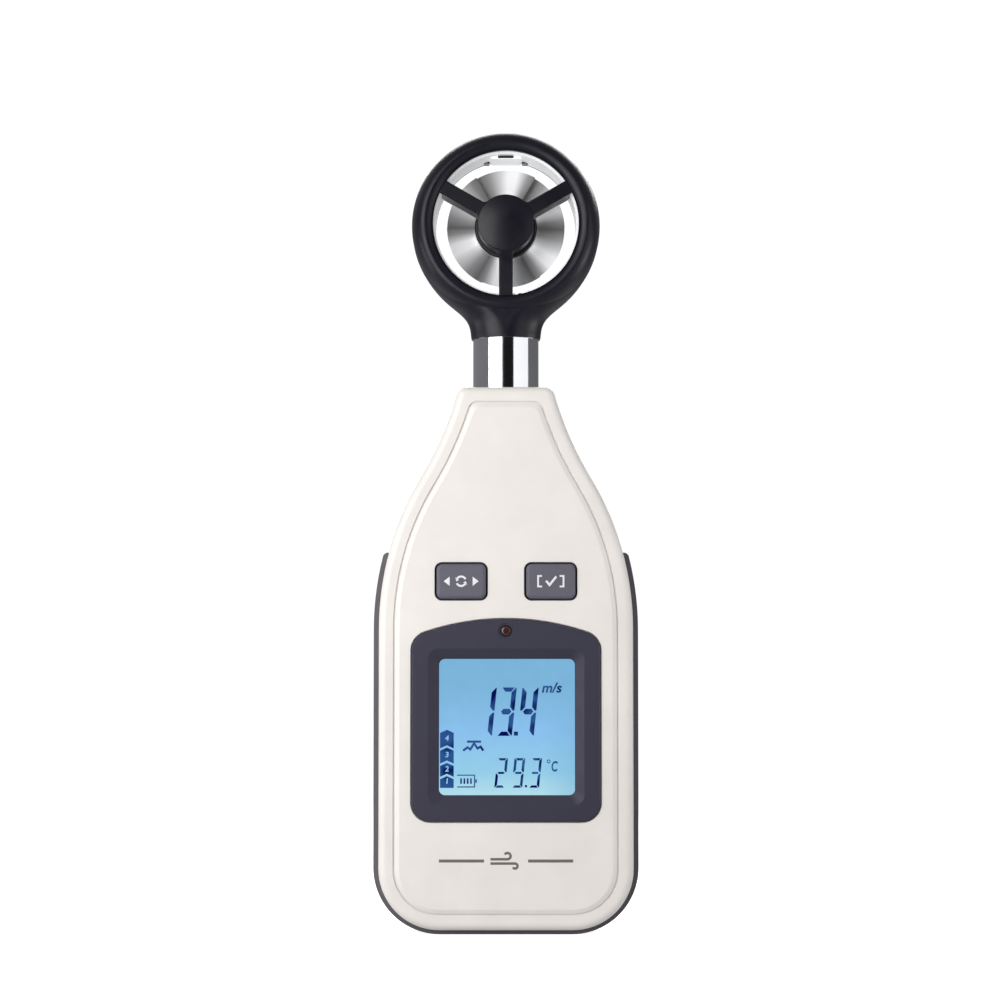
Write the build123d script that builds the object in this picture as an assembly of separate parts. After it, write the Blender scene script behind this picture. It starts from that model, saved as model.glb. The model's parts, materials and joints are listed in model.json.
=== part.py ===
from build123d import *
from math import asin, cos, degrees, radians, sin, sqrt
import os

# Handheld weather meter. All lengths are millimetres.
# X is the width, -Y the front and +Z the length. The origin is in the middle of the foot.

# Case outline, seen from the front
CASE_HALF = 25.55  # half of the cream case's width
CASE_FOOT = 1.25
CASE_TOP = 110.2
FOOT_RADIUS = 12.2
SHOULDER_START = 61.5  # height at which the straight sides end
SHOULDER_RADIUS = 59.0
SHOULDER_TURN = 31.0  # lean, in degrees, where the curve reverses
NECK_RADIUS = 70.0
TOP_CORNER = 2.0

# Case in depth
RIM_FRONT = -9.8
PANEL_FRONT = -10.2
PANEL_INSET = 3.3
PANEL_SLOPE = 0.9  # how far the raised panel's wall leans in
GROOVE_WIDTH = 0.35
GROOVE_DEPTH = 0.3
SPLIT = -3.0  # where the two covers meet
CASE_BACK = 10.6
WALL = 1.6
RIM_ROUND = 1.5
BACK_ROUND = 2.4
TUBE_CLEARANCE = 0.12

# Rear grip
GRIP_PROUD = 1.25
GRIP_TOP = 77.0
GRIP_BACK = 11.0
GRIP_WRAP = 2.6  # how far it reaches in over the back
GRIP_STEP = 8.0  # depth at which it turns in
GRIP_ROUND = 2.7

# Display
BEZEL_HALF = 18.95
BEZEL_LOW = 22.85
BEZEL_HIGH = 63.4
BEZEL_ARCH = 50.5
BEZEL_CORNER = 3.85
BEZEL_FRONT = -10.7
BEZEL_LEDGE = -9.3
BEZEL_STEP = 0.8
BEZEL_BACK = -8.4
BEZEL_FIT = 0.18
DISPLAY_Z = 41.76
RECESS_SIZE = 31.3
RECESS_CORNER = 2.2
WINDOW_SIZE = 27.2
WINDOW_X = 0.2  # the opening sits a little to the right
WINDOW_CORNER = 1.2
WINDOW_FRONT = -9.6
PANE_SIZE = 29.2
PANE_BACK = -8.6
GLASS_WIDTH = 31.6
GLASS_HEIGHT = 33.0
GLASS_Z = 41.5
GLASS_FRONT = -8.3
GLASS_BACK = -6.7
GLASS_LEDGE = 2.0  # bare strip at the foot of the rear pane
HOLDER_WALL = 1.2
BACKLIGHT_LOW = 27.6
BACKLIGHT_HIGH = 57.6
STRIP_LOW = 25.3
STRIP_HIGH = 26.7
STRIP_HALF = 14.0
LENS_Z = 60.95
LENS_RADIUS = 1.1
LENS_FLANGE = 1.6
LENS_BACK = -7.7
LED_RADIUS = 1.2
LED_FRONT = -7.1
LED_BASE = 0.7

# Keys
KEY_X = 8.98
KEY_Z = 70.9
KEY_WIDTH = 9.85
KEY_HEIGHT = 6.9
KEY_CORNER = 1.1
KEY_GAP = 0.42
KEY_FRONT = -11.0
KEY_TRAVEL = 0.5
KEY_FLANGE = 1.1
CAP_BACK = -6.6  # end of the key's post, on the switch's stem
SWITCH_SIZE = 6.0
SWITCH_FRONT = -6.0
SWITCH_LEG = 2.2  # height of the legs from the middle
PLUNGER_RADIUS = 1.5
RUNNING_GAP = 0.05

# Board
BOARD_FRONT = -4.8
BOARD_BACK = -3.8
BOARD_INSET = 4.9
BOARD_LOW = 11.6
BOARD_HIGH = 93.0
CHIP_Z = 83.0
CHIP_HALF = 3.5
CHIP_FRONT = -6.0
CHIP_PITCH = 0.8
CHIP_LEGS = 8
LEG_HALF = 0.15
LEG_THICK = 0.3
CRYSTAL_RADIUS = 1.0
CAPACITORS = 5
CAPACITOR_PITCH = 1.9
SOCKET_HALF = 4.4
PLUG_HALF = 3.7

# Screws, as (x, z)
SCREW_PLACES = [(-15.8, 7.7), (15.8, 7.7), (-13.5, 86.0), (13.5, 86.0)]
SCREW_RADIUS = 1.2
SCREW_SEAT = 5.0
SCREW_TIP = -7.2
SCREW_HEAD_RADIUS = 2.1
SCREW_HEAD = 1.5
REAR_BOSS = 3.2
FRONT_BOSS = 2.5

# Battery bay
CELL_RADIUS = 5.25
CELL_LENGTH = 44.5
CELL_NUB = 1.0
CELL_PITCH = 10.9
CELL_Y = 2.85
BAY_LOW = 14.4
BAY_HIGH = 63.4
BAY_HALF = 16.5
BAY_WALL = 0.9
BAY_FLOOR = -2.6
BAY_BACK = 8.5
PLATE = 0.5
PLATE_HALF = 4.0
SPRING_LENGTH = 3.5
SPRING_WIRE = 0.25
SPRING_TURNS = 3
SPRING_WIDE = 3.4
SPRING_TAPER = 21.3  # degrees
NUB_RADIUS = 1.9

# Battery door
DOOR_HALF = 18.0
DOOR_TOP = 65.0
DOOR_FRONT = 8.8
DOOR_BACK = 10.6
DOOR_GAP = 0.15
DOOR_AXIS_Z = 13.9
HINGE_PIN = 0.6
LEDGE_FRONT = 7.2
LEDGE_HALF = 20.2

# Tripod socket, quarter-inch thread
SOCKET_Z = 76.0
SOCKET_BORE = 2.55
SOCKET_RADIUS = 4.2
SOCKET_BACK = 10.4
SOCKET_DEPTH = 6.0

# Neck
TUBE_RADIUS = 6.7
TUBE_WALL = 0.8
TUBE_LOW = 97.6
TUBE_HIGH = 124.6
COLLAR_RADIUS = 7.5
COLLAR_FOOT_HALF = 10.3
COLLAR_LOW = 99.2
COLLAR_HIGH = 108.4

# Head, measured from its own centre
HEAD_Z = 143.95
HEAD_RADIUS = 19.25
CREST_RADIUS = 16.5
LIP_RADIUS = 14.8
HEAD_FRONT = -7.9
HEAD_BACK = 7.9
LIP_FRONT = -6.4
WIDEST_FRONT = -1.3  # depths between which the ring has its full radius
WIDEST_BACK = 3.5
LIP_BACK = 6.2
CHANNEL_RADIUS = 17.4
CHANNEL_FRONT = -3.6
CHANNEL_BACK = 3.8
LINER_OUTER = 14.9
LINER_INNER = 14.4
LINER_FRONT = -5.4
LINER_BACK = 4.4
FLARE_LOW = -23.3
FLARE_NECK = 7.0
FLARE_BLEND = 22.0  # radius of the full curve that runs out into the ring
FLARE_MEETS = 15.0  # degrees below the middle where it does
FLARE_CORNER = 6.0
FLARE_LOW_CORNER = 6.95

# Guards and vane wheel
SPOKE_ANGLES = (30, 150, 270)
SPOKE_WIDTH = 2.8
SPOKE_FRONT = -6.9
SPOKE_EDGE = 0.25
GUARD_CORNER = 1.1  # hollow corner between spoke and hub
HUB_RADIUS = 5.75
GUARD_BACK = 0.0
CAP_DOME = 0.9
REAR_SPOKE = 1.6
REAR_GUARD_FRONT = 4.0
REAR_GUARD_BACK = 5.2
REAR_HUB = 3.5
CLIP_X = 4.1
CLIP_HALF = 0.7
CLIP_REACH = 0.15  # how far the clips stand in from the liner
CLIP_DEPTH = 2.6
CLIP_GAP = 0.05
WHEEL_HUB = 6.4
WHEEL_FRONT = 0.4
WHEEL_BACK = 3.6
BLADE_COUNT = 6
BLADE_TIP = 12.1
BLADE_ROOT = 6.5
BLADE_SPAN = 66  # degrees that each blade covers
BLADE_SHEET = 0.35
BLADE_FRONT = 1.1
BLADE_BACK = 2.9
SHAFT_RADIUS = 0.5
SHAFT_FRONT = -3.2
JEWEL_BORE = 0.53
JEWEL_RADIUS = 1.5
JEWEL_THICK = 1.1
JEWEL_POCKET = -3.6
FRONT_JEWEL = -1.8

# Sensors in the head
HOUSING_HALF = 3.05  # block in the top of the duct, beside the wheel's rim
HOUSING_FRONT = -3.4
HOUSING_LOW = 13.6
EYE_HALF = 1.6
EYE_LOW = 13.8
EYE_HIGH = 14.4
EYE_SET_BACK = 0.25
SENSOR_FOOT_FRONT = -0.6
SENSOR_BACK = 1.2
SENSOR_TOP = 16.0
BEAD_X = 3.0
BEAD_Y = -2.6
BEAD_RADIUS = 0.95
BEAD_TOP = -13.85
LEAD_RADIUS = 0.8
LEAD_Y = -1.6
LEAD_RING = 16.2
LEAD_START = 73  # degrees up from the side
LEAD_END_Z = 92.6


def front_plane(depth):
    """Plane that faces the front at the given depth; its own x and y are X and Z."""
    return Plane(origin=(0, depth, 0), x_dir=(1, 0, 0), z_dir=(0, -1, 0))


def slab(outline, front, back):
    """Solid between two depths from an outline drawn as seen from the front."""
    return extrude(front_plane(back) * outline, amount=back - front)


def disc(radius, front, back, x=0.0, z=0.0):
    return slab(Pos(x, z) * Circle(radius), front, back)


def block(x, y, z):
    """Box between a low and a high limit on each axis."""
    limits = (x, y, z)
    centre = [(low + high) / 2 for low, high in limits]
    size = [high - low for low, high in limits]
    return Pos(*centre) * Box(*size)


def rod(radius, low, high, x=0.0, y=0.0):
    upright = (Align.CENTER, Align.CENTER, Align.MIN)
    return Pos(x, y, low) * Cylinder(radius, high - low, align=upright)


def joined(solids):
    """One solid from several that meet."""
    total = solids[0]
    for solid in solids[1:]:
        total = total + solid
    return total


def group(solids):
    """Separate solids kept in one node."""
    return Compound(children=[solid.solid() for solid in solids])


# ---------------------------------------------------------------- case


def case_outline(inset):
    """Straight sides, a full shoulder and a hollow neck, all tangent, moved in by inset."""
    half = CASE_HALF - inset
    foot = CASE_FOOT + inset
    top = CASE_TOP - inset
    neck_radius = NECK_RADIUS + inset
    reach = SHOULDER_RADIUS + NECK_RADIUS
    turn = radians(SHOULDER_TURN)
    foot_x = CASE_HALF - FOOT_RADIUS
    foot_z = CASE_FOOT + FOOT_RADIUS
    shoulder_x = CASE_HALF - SHOULDER_RADIUS
    neck_x = shoulder_x + reach * cos(turn)
    neck_z = SHOULDER_START + reach * sin(turn)
    neck_end = asin((neck_z - top) / neck_radius)
    top_x = neck_x - neck_radius * cos(neck_end)
    side = [
        CenterArc((foot_x, foot_z), FOOT_RADIUS - inset, -90, 90),
        Line((half, foot_z), (half, SHOULDER_START)),
        CenterArc((shoulder_x, SHOULDER_START), SHOULDER_RADIUS - inset, 0, SHOULDER_TURN),
        CenterArc((neck_x, neck_z), neck_radius, 180 + degrees(neck_end), SHOULDER_TURN - degrees(neck_end)),
    ]
    other_side = [mirror(edge, about=Plane.YZ) for edge in side]
    ends = [Line((-foot_x, foot), (foot_x, foot)), Line((-top_x, top), (top_x, top))]
    face = make_face([*side, *other_side, *ends])
    return fillet(face.vertices().sort_by(Axis.Y)[-2:], TOP_CORNER)


def below(height):
    """Everything under a height, for cutting outlines."""
    return Pos(0, height) * Rectangle(200, 400, align=(Align.CENTER, Align.MAX))


def screw_columns(radius, front, back):
    return joined([disc(radius, front, back, x, z) for x, z in SCREW_PLACES])


def bezel_outline(inset):
    """Square foot and arched top."""
    half = BEZEL_HALF - inset
    low = BEZEL_LOW + inset
    radius = BEZEL_ARCH - inset
    arch_z = BEZEL_HIGH - BEZEL_ARCH
    shoulder = arch_z + sqrt(radius**2 - half**2)
    face = make_face([
        Line((-half, low), (half, low)),
        Line((half, low), (half, shoulder)),
        ThreePointArc((half, shoulder), (0, arch_z + radius), (-half, shoulder)),
        Line((-half, shoulder), (-half, low)),
    ])
    return fillet(face.vertices(), BEZEL_CORNER - inset)


def key_outline(growth, x):
    corner = KEY_CORNER + growth
    return Pos(x, KEY_Z) * RectangleRounded(KEY_WIDTH + 2 * growth, KEY_HEIGHT + 2 * growth, corner)


def raised_panel():
    """Panel that stands proud of the rim, with leaning walls."""
    base = front_plane(RIM_FRONT) * case_outline(PANEL_INSET)
    face = front_plane(PANEL_FRONT) * case_outline(PANEL_INSET + PANEL_SLOPE)
    return loft([base, face], ruled=True)


def front_cover():
    rim = slab(case_outline(0), RIM_FRONT, SPLIT)
    rim = fillet(rim.faces().sort_by(Axis.Y)[0].edges(), RIM_ROUND)
    groove = case_outline(PANEL_INSET - GROOVE_WIDTH) - case_outline(PANEL_INSET)
    shell = rim - slab(groove, RIM_FRONT, RIM_FRONT + GROOVE_DEPTH) + raised_panel()
    shell -= slab(case_outline(WALL), RIM_FRONT + WALL, SPLIT)
    shell -= slab(case_outline(PANEL_INSET + WALL), PANEL_FRONT + WALL, SPLIT)
    shell += screw_columns(FRONT_BOSS, PANEL_FRONT + WALL, SPLIT)
    shell -= screw_columns(SCREW_RADIUS + 0.02, SCREW_TIP - 0.2, SPLIT)
    shell -= slab(bezel_outline(-BEZEL_FIT), PANEL_FRONT, BEZEL_LEDGE)
    shell -= slab(bezel_outline(BEZEL_STEP - BEZEL_FIT), BEZEL_LEDGE, PANEL_FRONT + WALL)
    for x in (-KEY_X, KEY_X):
        shell -= slab(key_outline(KEY_GAP, x), PANEL_FRONT, PANEL_FRONT + WALL)
    return shell - rod(TUBE_RADIUS + TUBE_CLEARANCE, COLLAR_HIGH, CASE_TOP)


def rear_grip():
    """Dark overmould round the lower sides and foot, turned in over the back edge."""
    outline = case_outline(-GRIP_PROUD) & below(GRIP_TOP)
    outline = fillet(outline.vertices().sort_by(Axis.Y)[-2:], GRIP_PROUD * 0.85)
    grip = slab(outline, SPLIT, GRIP_BACK)
    back_edges = grip.faces().sort_by(Axis.Y)[-1].edges()
    around = [edge for edge in back_edges if edge.center().Z < GRIP_TOP - 0.5]
    grip = fillet(around, GRIP_ROUND)
    grip -= slab(case_outline(0), SPLIT, GRIP_STEP)
    return grip - slab(case_outline(GRIP_WRAP), GRIP_STEP, GRIP_BACK)


def door_opening(gap):
    half = DOOR_HALF + gap
    hinge_room = (DOOR_BACK - DOOR_FRONT) / 2 + gap
    return block((-half, half), (DOOR_FRONT - gap, CASE_BACK), (DOOR_AXIS_Z - hinge_room, DOOR_TOP + gap))


def door_ledge():
    """Frame inside the back that the door closes on and hinges in."""
    low = DOOR_AXIS_Z - 2.0
    outer = block((-LEDGE_HALF, LEDGE_HALF), (LEDGE_FRONT, CASE_BACK - 0.5), (low, DOOR_TOP + 2.0))
    bay = BAY_HALF + BAY_WALL + 0.1
    return outer - block((-bay, bay), (LEDGE_FRONT, CASE_BACK), (BAY_LOW - 1.0, BAY_HIGH + 1.0))


def hinge_pins(radius, reach):
    """Pair of stubs on the door's axis, or the holes they turn in."""
    axis_y = (DOOR_FRONT + DOOR_BACK) / 2
    along_x = Plane(origin=(-DOOR_HALF - reach, axis_y, DOOR_AXIS_Z), z_dir=(1, 0, 0))
    pin = extrude(along_x * Circle(radius), amount=reach + 1.0)
    return [pin, mirror(pin, about=Plane.YZ)]


def rear_cover(grip):
    shell = slab(case_outline(0), SPLIT, CASE_BACK)
    shell = fillet(shell.faces().sort_by(Axis.Y)[-1].edges(), BACK_ROUND)
    step_inset = GRIP_WRAP + WALL
    shell -= slab(case_outline(WALL), SPLIT, GRIP_STEP - WALL)
    deep = case_outline(step_inset) + (case_outline(WALL) - below(GRIP_TOP + WALL))
    shell -= slab(deep, GRIP_STEP - WALL, CASE_BACK - WALL)
    shell += screw_columns(REAR_BOSS, SPLIT, CASE_BACK - WALL)
    shell += disc(SOCKET_RADIUS + 1.4, BAY_FLOOR + 5.6, CASE_BACK - WALL, 0, SOCKET_Z)
    shell += door_ledge()
    shell -= door_opening(DOOR_GAP)
    for hole in hinge_pins(HINGE_PIN + RUNNING_GAP, 1.2):
        shell -= hole
    shell -= screw_columns(SCREW_RADIUS + 0.2, SPLIT, SCREW_SEAT)
    shell -= screw_columns(SCREW_HEAD_RADIUS + 0.3, SCREW_SEAT, CASE_BACK)
    shell -= disc(SOCKET_RADIUS, SOCKET_BACK - SOCKET_DEPTH - 0.8, CASE_BACK, 0, SOCKET_Z)
    shell -= rod(TUBE_RADIUS + TUBE_CLEARANCE, COLLAR_HIGH, CASE_TOP)
    return shell - grip


def battery_door():
    """Door with a round lower edge, hinge stubs and a ribbed thumb recess."""
    axis_y = (DOOR_FRONT + DOOR_BACK) / 2
    half_thickness = (DOOR_BACK - DOOR_FRONT) / 2
    plate = block((-DOOR_HALF, DOOR_HALF), (DOOR_FRONT, DOOR_BACK), (DOOR_AXIS_Z, DOOR_TOP))
    plate = fillet(plate.edges().filter_by(Axis.Y).sort_by(Axis.Z)[-2:], 1.5)
    edge_axis = Plane(origin=(-DOOR_HALF, axis_y, DOOR_AXIS_Z), z_dir=(1, 0, 0))
    door = plate + extrude(edge_axis * Circle(half_thickness), amount=2 * DOOR_HALF)
    thumb = Pos(0, DOOR_TOP - 8) * SlotOverall(16, 8)
    door -= slab(thumb, DOOR_BACK - 0.7, DOOR_BACK)
    for row in range(4):
        z = DOOR_TOP - 10.4 + 1.6 * row
        door += block((-4.5, 4.5), (DOOR_BACK - 0.8, DOOR_BACK - 0.1), (z - 0.35, z + 0.35))
    return joined([door, *hinge_pins(HINGE_PIN, 1.0)])


def tripod_insert():
    front = SOCKET_BACK - SOCKET_DEPTH
    insert = disc(SOCKET_RADIUS, front - 0.8, SOCKET_BACK, 0, SOCKET_Z)
    return insert - disc(SOCKET_BORE, front, SOCKET_BACK, 0, SOCKET_Z)


def case_screws():
    screws = []
    for x, z in SCREW_PLACES:
        head_back = SCREW_SEAT + SCREW_HEAD
        screw = disc(SCREW_RADIUS, SCREW_TIP, SCREW_SEAT, x, z)
        screw += disc(SCREW_HEAD_RADIUS, SCREW_SEAT, head_back, x, z)
        long, short, deep = 1.3, 0.25, (head_back - 0.8, head_back)
        screw -= block((x - long, x + long), deep, (z - short, z + short))
        screw -= block((x - short, x + short), deep, (z - long, z + long))
        screws.append(screw)
    return group(screws)


# ---------------------------------------------------------------- display


def square(size, corner, x=0.0):
    return Pos(x, DISPLAY_Z) * RectangleRounded(size, size, corner)


def display_bezel():
    """Arched frame, let into the panel, with walls that slope in to the window."""
    rim = slab(bezel_outline(0), BEZEL_FRONT, BEZEL_LEDGE)
    rim = chamfer(rim.faces().sort_by(Axis.Y)[0].edges(), 0.3)
    body = rim + slab(bezel_outline(BEZEL_STEP), BEZEL_LEDGE, BEZEL_BACK)
    recess_front = front_plane(BEZEL_FRONT) * square(RECESS_SIZE, RECESS_CORNER)
    recess_back = front_plane(WINDOW_FRONT) * square(WINDOW_SIZE, WINDOW_CORNER, WINDOW_X)
    body -= loft([recess_front, recess_back], ruled=True)
    body -= slab(square(PANE_SIZE + 0.2, 1.0, WINDOW_X), WINDOW_FRONT, BEZEL_BACK)
    body -= disc(LENS_RADIUS + 0.45, BEZEL_FRONT, BEZEL_FRONT + 0.25, 0, LENS_Z)
    return body - disc(LENS_RADIUS + 0.05, BEZEL_FRONT, BEZEL_BACK, 0, LENS_Z)


def display_window():
    return slab(square(PANE_SIZE, 0.9, WINDOW_X), WINDOW_FRONT, PANE_BACK)


def lcd_glass():
    """Two panes; the rear one is longer at the foot, where the contacts are."""
    low = GLASS_Z - GLASS_HEIGHT / 2
    high = GLASS_Z + GLASS_HEIGHT / 2
    half = GLASS_WIDTH / 2
    middle = (GLASS_FRONT + GLASS_BACK) / 2
    front_pane = block((-half, half), (GLASS_FRONT, middle), (low, high))
    rear_pane = block((-half, half), (middle, GLASS_BACK), (low + GLASS_LEDGE, high))
    return front_pane + rear_pane


def lcd_backlight():
    half = GLASS_WIDTH / 2 - 0.3
    depth = (GLASS_BACK + 0.05, BOARD_FRONT - 0.1)
    return block((-half, half), depth, (BACKLIGHT_LOW, BACKLIGHT_HIGH))


def lcd_connector():
    """Striped rubber strip that joins the glass's contacts to the board."""
    middle = (GLASS_FRONT + GLASS_BACK) / 2
    return block((-STRIP_HALF, STRIP_HALF), (middle, BOARD_FRONT), (STRIP_LOW, STRIP_HIGH))


def lcd_holder():
    half = GLASS_WIDTH / 2 + 0.1
    tall = GLASS_HEIGHT / 2 + 0.1
    inside = Pos(0, GLASS_Z) * Rectangle(2 * half, 2 * tall)
    outside = Pos(0, GLASS_Z) * Rectangle(2 * (half + HOLDER_WALL), 2 * (tall + HOLDER_WALL))
    return slab(outside - inside, GLASS_FRONT, BOARD_FRONT)


def indicator_lens():
    stem = disc(LENS_RADIUS, BEZEL_FRONT + 0.1, LENS_BACK, 0, LENS_Z)
    stem = fillet(stem.faces().sort_by(Axis.Y)[0].edges(), LENS_RADIUS / 2)
    return stem + disc(LENS_FLANGE, BEZEL_BACK + 0.1, LENS_BACK, 0, LENS_Z)


def indicator_led():
    body = disc(LED_RADIUS, LED_FRONT, BOARD_FRONT, 0, LENS_Z)
    body = fillet(body.faces().sort_by(Axis.Y)[0].edges(), LED_RADIUS * 0.75)
    return body + disc(LED_RADIUS * 1.25, BOARD_FRONT - LED_BASE, BOARD_FRONT, 0, LENS_Z)


# ---------------------------------------------------------------- keys


def key_cap(x):
    """Cap with a leaning edge, a flange behind the panel and a post on the switch."""
    inner = PANEL_FRONT + WALL + 0.2
    cap = slab(key_outline(0, x), KEY_FRONT, inner)
    cap = chamfer(cap.faces().sort_by(Axis.Y)[0].edges(), 0.5)
    flange = slab(key_outline(KEY_FLANGE, x), inner, inner + 0.6)
    return cap + flange + disc(PLUNGER_RADIUS, inner + 0.6, CAP_BACK, x, KEY_Z)


def switch_case(x):
    """Tactile switch: a bored block on four short legs."""
    half = SWITCH_SIZE / 2
    case = block((x - half, x + half), (SWITCH_FRONT, BOARD_FRONT), (KEY_Z - half, KEY_Z + half))
    leg = block((-half - 0.9, half + 0.9), (BOARD_FRONT - LEG_THICK, BOARD_FRONT), (-0.35, 0.35))
    for row in (-SWITCH_LEG, SWITCH_LEG):
        case += Pos(x, 0, KEY_Z + row) * leg
    return case - disc(PLUNGER_RADIUS + RUNNING_GAP, SWITCH_FRONT, BOARD_FRONT, x, KEY_Z)


def plunger(x):
    return disc(PLUNGER_RADIUS, CAP_BACK, BOARD_FRONT - KEY_TRAVEL - 0.1, x, KEY_Z)


# ---------------------------------------------------------------- board and batteries


def main_board():
    outline = case_outline(BOARD_INSET) & below(BOARD_HIGH)
    outline -= below(BOARD_LOW)
    board = slab(outline, BOARD_FRONT, BOARD_BACK)
    return board - screw_columns(FRONT_BOSS + 0.2, BOARD_FRONT, BOARD_BACK)


def processor():
    """Square chip with gull-wing legs on all four sides."""
    body = (-CHIP_HALF, CHIP_HALF)
    chip = block(body, (CHIP_FRONT, BOARD_FRONT - 0.1), body)
    reach = (-CHIP_HALF - 1.0, CHIP_HALF + 1.0)
    foot = (BOARD_FRONT - LEG_THICK, BOARD_FRONT)
    for step in range(CHIP_LEGS):
        along = CHIP_PITCH * (step - (CHIP_LEGS - 1) / 2)
        leg = (along - LEG_HALF, along + LEG_HALF)
        chip += block(reach, foot, leg)
        chip += block(leg, foot, reach)
    open_middle = (1 - CHIP_HALF, CHIP_HALF - 1)
    return Pos(0, 0, CHIP_Z) * (chip - block(open_middle, (BOARD_FRONT - 0.1, BOARD_FRONT), open_middle))


def board_parts():
    """Crystal can, a row of chip capacitors and one electrolytic behind the board."""
    crystal = rod(CRYSTAL_RADIUS, 79.5, 86.0, 8.0, BOARD_FRONT - CRYSTAL_RADIUS)
    chip = block((-14.5, -13.7), (BOARD_FRONT - 0.7, BOARD_FRONT), (78.4, 80.0))
    chips = [Pos(CAPACITOR_PITCH * column, 0, 0) * chip for column in range(CAPACITORS)]
    electrolytic = disc(2.5, BOARD_BACK, BOARD_BACK + 6.0, -11.0, 72.0)
    return group([crystal, *chips, electrolytic])


def head_connector():
    """Socket on the back of the board, open upwards for the lead."""
    body = block((-SOCKET_HALF, SOCKET_HALF), (BOARD_BACK, 1.4), (86.8, LEAD_END_Z))
    return body - block((-PLUG_HALF, PLUG_HALF), (BOARD_BACK + 0.6, 0.8), (89.0, LEAD_END_Z))


def cell_positions():
    """Column, low end and direction of each cell; the middle one is turned round."""
    low = BAY_LOW + PLATE
    return [
        (-CELL_PITCH, low + SPRING_LENGTH, 1),
        (0.0, low, -1),
        (CELL_PITCH, low + SPRING_LENGTH, 1),
    ]


def battery_cell(x, low, direction):
    body_low = low if direction > 0 else low + CELL_NUB
    nub_low = low + CELL_LENGTH - CELL_NUB if direction > 0 else low
    body = rod(CELL_RADIUS, body_low, body_low + CELL_LENGTH - CELL_NUB, x, CELL_Y)
    body = fillet(body.edges().filter_by(GeomType.CIRCLE), 0.4)
    return body + rod(NUB_RADIUS, nub_low, nub_low + CELL_NUB, x, CELL_Y)


def contact_spring(x, low, grows_up):
    """Tapering turns of wire, wide at the plate."""
    height = SPRING_LENGTH - 2 * SPRING_WIRE
    path = Helix(height / SPRING_TURNS, height, SPRING_WIDE, cone_angle=-SPRING_TAPER)
    wire = sweep(Plane(origin=path @ 0, z_dir=path % 0) * Circle(SPRING_WIRE), path=path, is_frenet=True)
    if grows_up:
        return Pos(x, CELL_Y, low + SPRING_WIRE) * wire
    return Pos(x, CELL_Y, low + SPRING_LENGTH - SPRING_WIRE) * Rot(180, 0, 0) * wire


def battery_springs():
    springs = []
    for x, low, direction in cell_positions():
        if direction > 0:
            springs.append(contact_spring(x, low - SPRING_LENGTH, True))
        else:
            springs.append(contact_spring(x, low + CELL_LENGTH, False))
    return group(springs)


def battery_plates():
    plates = []
    across = (-PLATE_HALF, PLATE_HALF)
    for x, _, _ in cell_positions():
        for low in (BAY_LOW, BAY_HIGH - PLATE):
            plates.append(Pos(x, CELL_Y, low) * block(across, across, (0, PLATE)))
    return group(plates)


def battery_tray():
    half = BAY_HALF + BAY_WALL
    outside = block((-half, half), (BAY_FLOOR - 0.8, BAY_BACK), (BAY_LOW - BAY_WALL, BAY_HIGH + BAY_WALL))
    tray = outside - block((-BAY_HALF, BAY_HALF), (BAY_FLOOR, BAY_BACK), (BAY_LOW, BAY_HIGH))
    for x in (-CELL_PITCH / 2, CELL_PITCH / 2):
        tray += block((x - 0.6, x + 0.6), (BAY_FLOOR, BAY_FLOOR + 1.6), (BAY_LOW + 6, BAY_HIGH - 6))
    return tray


# ---------------------------------------------------------------- neck and head


def neck_tube():
    return rod(TUBE_RADIUS, TUBE_LOW, TUBE_HIGH) - rod(TUBE_RADIUS - TUBE_WALL, TUBE_LOW, TUBE_HIGH)


def neck_collar():
    """Sleeve round the tube's lower end, with a square foot that the covers trap."""
    sleeve = rod(COLLAR_RADIUS, COLLAR_LOW, COLLAR_HIGH)
    sleeve += block((-COLLAR_FOOT_HALF, COLLAR_FOOT_HALF), (-5.5, 5.5), (COLLAR_LOW, COLLAR_LOW + 2.2))
    return sleeve - rod(TUBE_RADIUS, COLLAR_LOW, COLLAR_HIGH)


def at_head(solid):
    return Pos(0, 0, HEAD_Z) * solid


def turned(outline):
    """Solid of revolution about the duct's axis from an outline of radius and depth."""
    return revolve(outline, axis=Axis.Y)


def ring_section():
    """Rounded front and back, steeper towards the duct than towards the outside."""
    inner = CREST_RADIUS - LIP_RADIUS
    outer = HEAD_RADIUS - CREST_RADIUS
    return make_face([
        EllipticalCenterArc((CREST_RADIUS, LIP_FRONT), inner, LIP_FRONT - HEAD_FRONT, 180, arc_size=90),
        EllipticalCenterArc((CREST_RADIUS, WIDEST_FRONT), outer, WIDEST_FRONT - HEAD_FRONT, 270, arc_size=90),
        Line((HEAD_RADIUS, WIDEST_FRONT), (HEAD_RADIUS, WIDEST_BACK)),
        EllipticalCenterArc((CREST_RADIUS, WIDEST_BACK), outer, HEAD_BACK - WIDEST_BACK, 0, arc_size=90),
        EllipticalCenterArc((CREST_RADIUS, LIP_BACK), inner, HEAD_BACK - LIP_BACK, 90, arc_size=90),
        Line((LIP_RADIUS, LIP_BACK), (LIP_RADIUS, LIP_FRONT)),
    ])


def flare_half(z):
    """Half width of the flare: a hollow curve off the neck, then a full curve into the ring."""
    meets = radians(FLARE_MEETS)
    blend_x = -(FLARE_BLEND - HEAD_RADIUS) * cos(meets)
    blend_z = (FLARE_BLEND - HEAD_RADIUS) * sin(meets)
    across = FLARE_NECK - blend_x
    drop = blend_z - FLARE_LOW
    hollow = (across**2 + drop**2 - FLARE_BLEND**2) / (2 * (FLARE_BLEND - across))
    joint_z = blend_z - drop * FLARE_BLEND / (FLARE_BLEND + hollow)
    if z < joint_z:
        return FLARE_NECK + hollow - sqrt(hollow**2 - (z - FLARE_LOW) ** 2)
    return blend_x + sqrt(FLARE_BLEND**2 - (z - blend_z) ** 2)


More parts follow.
